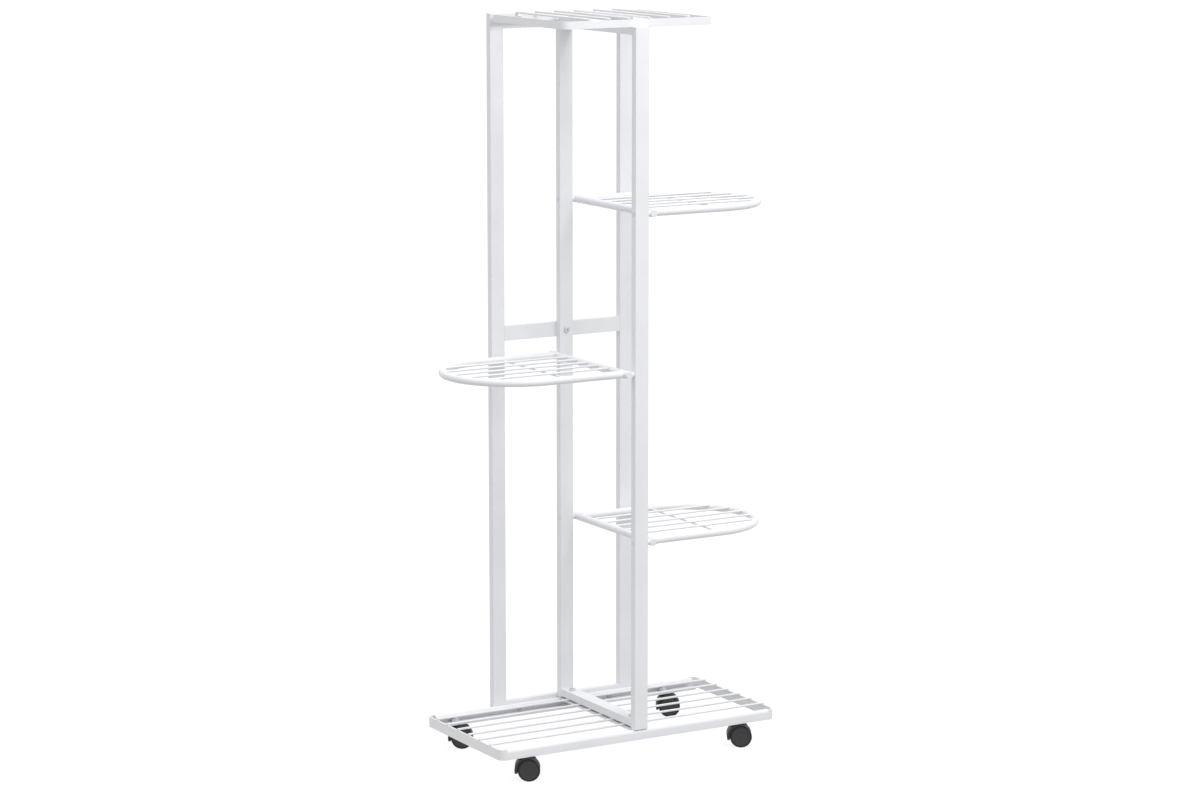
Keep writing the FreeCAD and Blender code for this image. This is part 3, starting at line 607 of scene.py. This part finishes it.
@dataclass
class ShelfWelds(SubAssembly):
    """The welds of one side shelf: rim to cross tube, and wires to both.

    Attributes:
        shelf: The shelf's name in its nodes' names.
        side: 1 on the right, -1 on the left.
        count: How many wires the shelf has.
        wire_radius: Their radius.
        bead: The radius of the bead between the tubes.
        bead_steps: How many points the bead has.
        bead_lift: How far it stands out from the cross tube, as a share of its radius.
        bead_ripple: The share by which it swells.
        nugget: The radius of a nugget beside a wire.
        nugget_length: Its length.
        nugget_step: How far apart its ripples are.
        nugget_spread: How far it lies from the wire's centre line, as a share of the wire's radius.
        nugget_drop: How far it lies below that line, in the same way.
        nugget_ripple: The share by which it swells.
        seat: How far from a tube's centre line its wires' nuggets lie, as a share of the tube's radius.
    """

    shelf: str = ""
    side: int = 1
    count: int = 5
    wire_radius: float = 1.5 * MM
    bead: float = 0.75 * MM
    bead_steps: int = 40
    bead_lift: float = 0.2
    bead_ripple: float = 0.1
    nugget: float = 0.6 * MM
    nugget_length: float = 2.4 * MM
    nugget_step: float = 0.6 * MM
    nugget_spread: float = 0.9
    nugget_drop: float = 0.2
    nugget_ripple: float = 0.12
    seat: float = 0.75

    def build(self) -> None:
        """Puts a bead round each joint of the tubes and a nugget at each wire's end."""
        rim = Box.of(f"{self.shelf}_shelf_hoop")
        tube = Box.of(f"{self.shelf}_shelf_cross_tube")
        wires = Box.of(f"{self.shelf}_shelf_wires")
        radius = tube.size.x / 2
        mesh = bmesh.new()
        for y in (rim.low.y + radius, rim.high.y - radius):
            self.saddle(mesh, Vector((tube.middle.x, y, tube.middle.z)), radius)
        for y in wire_lines(wires.low.y, wires.high.y, self.wire_radius, self.count):
            self.nuggets(mesh, tube, rim, Vector((0, y, wires.high.z - self.wire_radius)))
        self.keep(make_object(f"{self.name}_welds", mesh, Surface.WELD_COAT))

    def saddle(self, mesh: bmesh.types.BMesh, centre: Vector, radius: float) -> None:
        """A bead along the curve where the rim's end meets the cross tube.

        Args:
            mesh: The bmesh that gets the bead.
            centre: Where the two tubes' centre lines cross.
            radius: The tubes' radius.
        """
        path = []
        for step in range(self.bead_steps):
            turn = 2 * math.pi * step / self.bead_steps
            y, z = radius * math.cos(turn), radius * math.sin(turn)
            out = math.sqrt(max(radius**2 - z**2, 0.0))
            path.append(centre + Vector((self.side * (out + self.bead * self.bead_lift), y, z)))
        rope(mesh, path, self.bead, self.bead_ripple, closed=True)

    def nuggets(self, mesh: bmesh.types.BMesh, tube: Box, rim: Box, wire: Vector) -> None:
        """A nugget on each side of a wire, at the cross tube and at the rim.

        Args:
            mesh: The bmesh that gets the nuggets.
            tube: The cross tube's box.
            rim: The rim's box.
            wire: A point on the wire's centre line.
        """
        tube_radius = tube.size.x / 2
        bend = rim.size.y / 2 - tube_radius
        far = rim.high.x if self.side > 0 else rim.low.x
        bend_x = far - self.side * (bend + tube_radius)
        drop = tube_radius * self.seat
        near_x = tube.middle.x + self.side * drop
        far_x = bend_x + self.side * (math.sqrt(bend**2 - wire.y**2) - drop)
        below = wire.z - self.wire_radius * self.nugget_drop
        for x in (near_x, far_x):
            for edge in (-1, 1):
                beside = wire.y + edge * self.wire_radius * self.nugget_spread
                start = Vector((x - self.nugget_length / 2, beside, below))
                stop = start + Vector((self.nugget_length, 0, 0))
                path = straight_path(start, stop, self.nugget_step)
                rope(mesh, path, self.nugget, self.nugget_ripple, closed=False)


@dataclass
class FrameWelds(SubAssembly):
    """The dressed weld lines at the mitred corners and butted bars of the two upright frames.

    Attributes:
        bead: The line's radius.
        step: How far apart its ripples are.
        ripple: The share by which it swells.
        sides: Faces round it.
    """

    bead: float = 0.35 * MM
    step: float = 1.2 * MM
    ripple: float = 0.15
    sides: int = 8

    def build(self) -> None:
        """Lays the lines of both frames in one mesh."""
        mesh = bmesh.new()
        self.back_frame(mesh)
        self.centre_frame(mesh)
        self.keep(make_object(f"{self.name}_welds", mesh, Surface.WELD_COAT))

    def back_frame(self, mesh: bmesh.types.BMesh) -> None:
        """The mitres at the top and bottom corners and the joints round the crossbar's two ends."""
        top = Box.of("back_top_bar")
        width = top.size.z
        for side in (-1, 1):
            outer = Vector((side * top.high.x, 0, top.high.z))
            inner = Vector((side * (top.high.x - width), 0, top.low.z))
            for y in (top.low.y, top.high.y):
                self.line(mesh, outer + Vector((0, y, 0)), inner + Vector((0, y, 0)))
        bottom = Box.of("back_bottom_bar")
        for side in (-1, 1):
            outer = Vector((side * bottom.high.x, bottom.high.y, bottom.low.z))
            inner = Vector((side * (bottom.high.x - width), bottom.high.y, bottom.high.z))
            self.line(mesh, outer, inner)
        bar = Box.of("back_crossbar")
        for x in (bar.low.x, bar.high.x):
            for y in (bar.low.y, bar.high.y):
                self.line(mesh, Vector((x, y, bar.low.z)), Vector((x, y, bar.high.z)))
            for z in (bar.low.z, bar.high.z):
                self.line(mesh, Vector((x, bar.low.y, z)), Vector((x, bar.high.y, z)))

    def centre_frame(self, mesh: bmesh.types.BMesh) -> None:
        """The mitres at the top corners and the joints at the bottom bar's two ends."""
        top = Box.of("centre_top_bar")
        depth = top.size.z
        for side in (-1, 1):
            for x in (top.low.x, top.high.x):
                outer = Vector((x, side * top.high.y, top.high.z))
                self.line(mesh, outer, Vector((x, side * (top.high.y - depth), top.low.z)))
        foot = Box.of("centre_bottom_bar")
        for y in (foot.low.y, foot.high.y):
            for z in (foot.low.z, foot.high.z):
                self.line(mesh, Vector((foot.low.x, y, z)), Vector((foot.high.x, y, z)))

    def line(self, mesh: bmesh.types.BMesh, start: Vector, end: Vector) -> None:
        """One thin bead from start to end."""
        path = straight_path(start, end, self.step)
        rope(mesh, path, self.bead, self.ripple, closed=False, sides=self.sides)


@dataclass
class CastorTrim(SubAssembly):
    """The moulded boss round the stem, on top of a castor's hood.

    Attributes:
        stem: The stem's centre on the floor.
        profile_mm: Its (radius, height above the floor) points, from the outside in.
        sides: Faces round it.
    """

    stem: Vector = field(default_factory=Vector)
    profile_mm: tuple[tuple[float, float], ...] = (
        (6.2, 28.4),
        (6.0, 30.6),
        (5.4, 31.6),
        (4.6, 32.05),
        (3.4, 32.15),
        (3.25, 32.0),
        (3.25, 28.4),
    )
    sides: int = 40

    def build(self) -> None:
        """Turns the boss, which stops just short of the stem's collar."""
        profile = [(radius * MM, height * MM) for radius, height in self.profile_mm]
        mesh = bmesh.new()
        lathe(mesh, self.stem, Vector((0, 0, 1)), profile, self.sides)
        self.keep(make_object(f"{self.name}_boss", mesh, Surface.BLACK_HOOD))


@dataclass
class WheelCap(SubAssembly):
    """The grey disc in the outer face of a castor wheel.

    Attributes:
        face: The middle of the wheel's outer face.
        outward: The unit direction out of that face.
        radius: The disc's radius.
        edge: How far its raised edge stands out of the wheel.
        dish: How far the floor of its dish stands out.
        boss: The radius of the dome in its middle.
        sides: Faces round it.
    """

    face: Vector = field(default_factory=Vector)
    outward: Vector = field(default_factory=Vector)
    radius: float = 12.6 * MM
    edge: float = 0.35 * MM
    dish: float = 0.12 * MM
    boss: float = 2.6 * MM
    sides: int = 64

    def build(self) -> None:
        """Turns the disc: a raised edge, a shallow dish and a small domed boss."""
        profile = [
            (self.radius, -0.3 * MM),
            (self.radius, self.edge * 0.6),
            (self.radius - 0.3 * MM, self.edge),
            (self.radius - 1.3 * MM, self.edge),
            (self.radius - 1.7 * MM, self.dish),
            (self.boss + 0.5 * MM, self.dish),
            (self.boss, self.edge * 1.6),
            (self.boss * 0.6, self.edge * 2.3),
            (0, self.edge * 2.5),
        ]
        mesh = bmesh.new()
        lathe(mesh, self.face, self.outward, profile, self.sides)
        self.keep(make_object(f"{self.name}_cap", mesh, Surface.GREY_CAP))


# ------------------------------------------------------------------ the stand


@dataclass
class FlowerCartStand:
    """The whole stand, dressed.

    Attributes:
        merge_distance: How near the corners of neighbouring faces are joined.
        crease: The angle from which an edge stays sharp.
        wheel_outer_face: How far a wheel's outer face is from the middle between a castor's two wheels.
    """

    frame: dict
    merge_distance: float = 0.001 * MM
    crease: float = math.radians(30)
    wheel_outer_face: float = 10.6 * MM

    def dress(self) -> None:
        """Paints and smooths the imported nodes, then adds the details."""
        self.paint_nodes()
        for assembly in self.assemblies():
            assembly.build()

    def paint_nodes(self) -> None:
        """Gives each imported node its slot's finish and smooths its round surfaces."""
        slots = {part["node"]: part["material_slot"] for part in self.frame["record"]["subparts"]}
        for name, node in self.frame["nodes"].items():
            surface = SLOT_SURFACES[slots[name]]
            if name.endswith("_wheel"):
                surface = Surface.BLACK_TREAD
            paint(node, surface)
            self.smooth(node)
            LOG.info("%s: finished in %s", name, surface.name)

    def smooth(self, node: bpy.types.Object) -> None:
        """Smooths a node's round surfaces and keeps its creases, with modifiers that leave its mesh alone."""
        node.data.shade_smooth()
        weld = node.modifiers.new("merge", "WELD")
        weld.merge_threshold = self.merge_distance
        split = node.modifiers.new("creases", "EDGE_SPLIT")
        split.split_angle = self.crease

    def assemblies(self) -> list[SubAssembly]:
        """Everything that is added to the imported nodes."""
        stand = "stand"
        made: list[SubAssembly] = [
            StripWelds("tray_wire", stand, wires="tray_wires", along_x=True),
            StripWelds("top_wire", stand, wires="top_shelf_wires", along_x=False),
            ShelfWelds("upper_right", stand, shelf="upper_right", side=1),
            ShelfWelds("left", stand, shelf="left", side=-1),
            ShelfWelds("lower_right", stand, shelf="lower_right", side=1),
            FrameWelds("frame", stand),
        ]
        joints = {joint["name"]: joint for joint in self.frame["joints"]}
        for corner in ("front_left", "front_right", "back_left", "back_right"):
            made += self.castor(corner, joints)
        return made

    def castor(self, corner: str, joints: dict) -> list[SubAssembly]:
        """The trim of one castor and of its two wheels.

        Args:
            corner: The castor's corner, as its joints' names give it.
            joints: The frame's joints by name.

        Returns:
            The discs of the two wheels and the boss.
        """
        swivel = joints[f"{corner}_castor_swivel"]
        stem = Vector((swivel["pos_m"][0], swivel["pos_m"][1], 0))
        made: list[SubAssembly] = []
        for wheel, side in (("front_wheel", -1), ("back_wheel", 1)):
            joint = joints[f"{corner}_{wheel}_axle"]
            centre = Vector(joint["pos_m"])
            outward = Vector(joint["axis"]).normalized() * side
            face = centre + outward * self.wheel_outer_face
            made.append(WheelCap(f"{corner}_{wheel}", joint["child"], face=face, outward=outward))
        made.append(CastorTrim(f"{corner}_castor", swivel["child"], stem=stem))
        return made


# ------------------------------------------------------------------ studio


@dataclass(frozen=True)
class Studio:
    """The pale floor, the white surround, the soft lights and the camera.

    Attributes:
        eye: Where the camera stands.
        yaw: How far it looks to the right of +Y, in degrees.
        pitch: How far it looks down, in degrees.
        focal_px: Its focal length in pixels of the photograph.
        sensor_mm: Its sensor's width.
        sight: How far it sees.
        surround: How strongly the surround lights the object.
        floor_reach: Half the floor's width.
        floor_colour: The floor's colour, dark enough to throw little light up.
        floor_seen_glow: The glow that makes the floor white to the camera and in reflections.
        floor_cast_glow: The glow that lights the object from below.
        tooth: The paper's pattern.
        tooth_strength: How much of it shows.
        tooth_depth_mm: Its depth.
        key_place: Where the soft box stands.
        key_aim: What it is aimed at.
        key_side: The length of its side.
        key_power: Its power in watts.
        sky_strength: The strength of the light from above.
        sky_spread: The angle that the light from above comes from, in degrees.
    """

    eye: tuple[float, float, float] = (-2.3206, -3.9536, 1.2654)
    yaw: float = 30.384
    pitch: float = 9.719
    focal_px: float = 3452.6
    sensor_mm: float = 36.0
    sight: float = 200.0
    surround: float = 0.81
    floor_reach: float = 60.0
    floor_colour: str = "#7C7C7C"
    floor_seen_glow: float = 0.86
    floor_cast_glow: float = 0.30
    tooth: Grain = Grain(4.0, 2.0)
    tooth_strength: float = 0.05
    tooth_depth_mm: float = 0.05
    key_place: tuple[float, float, float] = (0.3, -1.4, 2.3)
    key_aim: tuple[float, float, float] = (0.0, 0.0, 0.5)
    key_side: float = 1.0
    key_power: float = 21.5
    sky_strength: float = 0.5
    sky_spread: float = 70.0

    def build(self) -> None:
        """Makes everything in the studio."""
        self.make_floor()
        self.make_surround()
        self.make_soft_box()
        self.make_sky_light()
        self.make_camera()

    def make_floor(self) -> None:
        """A wide, plain floor that is white to the camera and keeps the object's shadow."""
        reach = self.floor_reach
        mesh = bmesh.new()
        corners = [(-reach, -reach), (reach, -reach), (reach, reach), (-reach, reach)]
        mesh.faces.new([mesh.verts.new((x, y, 0)) for x, y in corners])
        data = bpy.data.meshes.new("floor")
        mesh.to_mesh(data)
        mesh.free()
        floor = bpy.data.objects.new("floor", data)
        bpy.context.scene.collection.objects.link(floor)
        floor.data.materials.append(self.floor_material())

    def floor_material(self) -> bpy.types.Material:
        """Matt paper that glows, so that it runs into the white surround."""
        material = bpy.data.materials.new("floor_paper")
        material.use_nodes = True
        tree = material.node_tree
        tree.nodes.clear()
        coords = add_node(tree, "ShaderNodeTexCoord").outputs["Object"]
        tooth = add_node(tree, "ShaderNodeTexNoise", self.tooth.inputs(coords)).outputs["Fac"]
        raised = {"Height": tooth, "Strength": self.tooth_strength, "Distance": self.tooth_depth_mm * MM}
        bump = add_node(tree, "ShaderNodeBump", raised)
        inputs = {"Color": linear(self.floor_colour), "Normal": bump.outputs["Normal"]}
        paper = add_node(tree, "ShaderNodeBsdfDiffuse", inputs)
        seen = self.seen_directly(tree)
        limits = {"Value": seen, "To Min": self.floor_cast_glow, "To Max": self.floor_seen_glow}
        strength = add_node(tree, "ShaderNodeMapRange", limits).outputs["Result"]
        glow = add_node(tree, "ShaderNodeEmission", {"Color": WHITE, "Strength": strength})
        both = add_node(tree, "ShaderNodeAddShader", {0: paper.outputs[0], 1: glow.outputs[0]})
        add_node(tree, "ShaderNodeOutputMaterial", {"Surface": both.outputs[0]})
        return material

    @staticmethod
    def seen_directly(tree: bpy.types.NodeTree) -> bpy.types.NodeSocket:
        """One for camera, glossy and transmission rays, zero for the rays that light the object."""
        rays = add_node(tree, "ShaderNodeLightPath").outputs
        mirrored = {0: rays["Is Glossy Ray"], 1: rays["Is Transmission Ray"]}
        either = add_node(tree, "ShaderNodeMath", mirrored, operation="MAXIMUM").outputs[0]
        both = {0: rays["Is Camera Ray"], 1: either}
        return add_node(tree, "ShaderNodeMath", both, operation="MAXIMUM").outputs[0]

    def make_surround(self) -> None:
        """An even white surround: pure white to the camera and in reflections, softer as a light."""
        world = bpy.data.worlds.new("surround")
        bpy.context.scene.world = world
        world.use_nodes = True
        tree = world.node_tree
        tree.nodes.clear()
        seen = self.seen_directly(tree)
        light = add_node(tree, "ShaderNodeBackground", {"Color": WHITE, "Strength": self.surround})
        white = add_node(tree, "ShaderNodeBackground", {"Color": WHITE, "Strength": 1.0})
        both = add_node(tree, "ShaderNodeMixShader", {0: seen, 1: light.outputs[0], 2: white.outputs[0]})
        add_node(tree, "ShaderNodeOutputWorld", {"Surface": both.outputs[0]})
        bpy.context.scene.view_settings.view_transform = "Standard"

    def make_sky_light(self) -> None:
        """A very soft light from straight above."""
        data = bpy.data.lights.new("overhead", "SUN")
        data.energy = self.sky_strength
        data.angle = math.radians(self.sky_spread)
        lamp = bpy.data.objects.new("overhead", data)
        bpy.context.scene.collection.objects.link(lamp)

    def make_soft_box(self) -> None:
        """A square soft box in front of the stand, above it and close, so that the feet get less light."""
        data = bpy.data.lights.new("key", "AREA")
        data.shape = "SQUARE"
        data.size = self.key_side
        data.energy = self.key_power
        lamp = bpy.data.objects.new("key", data)
        lamp.location = self.key_place
        aim = Vector(self.key_aim) - Vector(self.key_place)
        lamp.rotation_euler = aim.to_track_quat("-Z", "Y").to_euler()
        bpy.context.scene.collection.objects.link(lamp)

    def make_camera(self) -> None:
        """The camera at the photograph's viewing angle, pitched where the photograph's lens was shifted."""
        data = bpy.data.cameras.new("camera")
        data.sensor_fit = "HORIZONTAL"
        data.sensor_width = self.sensor_mm
        data.lens = self.focal_px / PHOTO_WIDTH * data.sensor_width
        data.clip_end = self.sight
        camera = bpy.data.objects.new("camera", data)
        camera.location = self.eye
        camera.rotation_euler = (math.radians(90 - self.pitch), 0, -math.radians(self.yaw))
        bpy.context.scene.collection.objects.link(camera)
        bpy.context.scene.camera = camera


def main() -> None:
    """Loads the model, dresses it and sets the studio up."""
    logging.basicConfig(level=logging.INFO, format="%(message)s")
    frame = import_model()
    FlowerCartStand(frame).dress()
    Studio().build()
    bpy.context.view_layer.update()


if __name__ == "__main__":
    main()
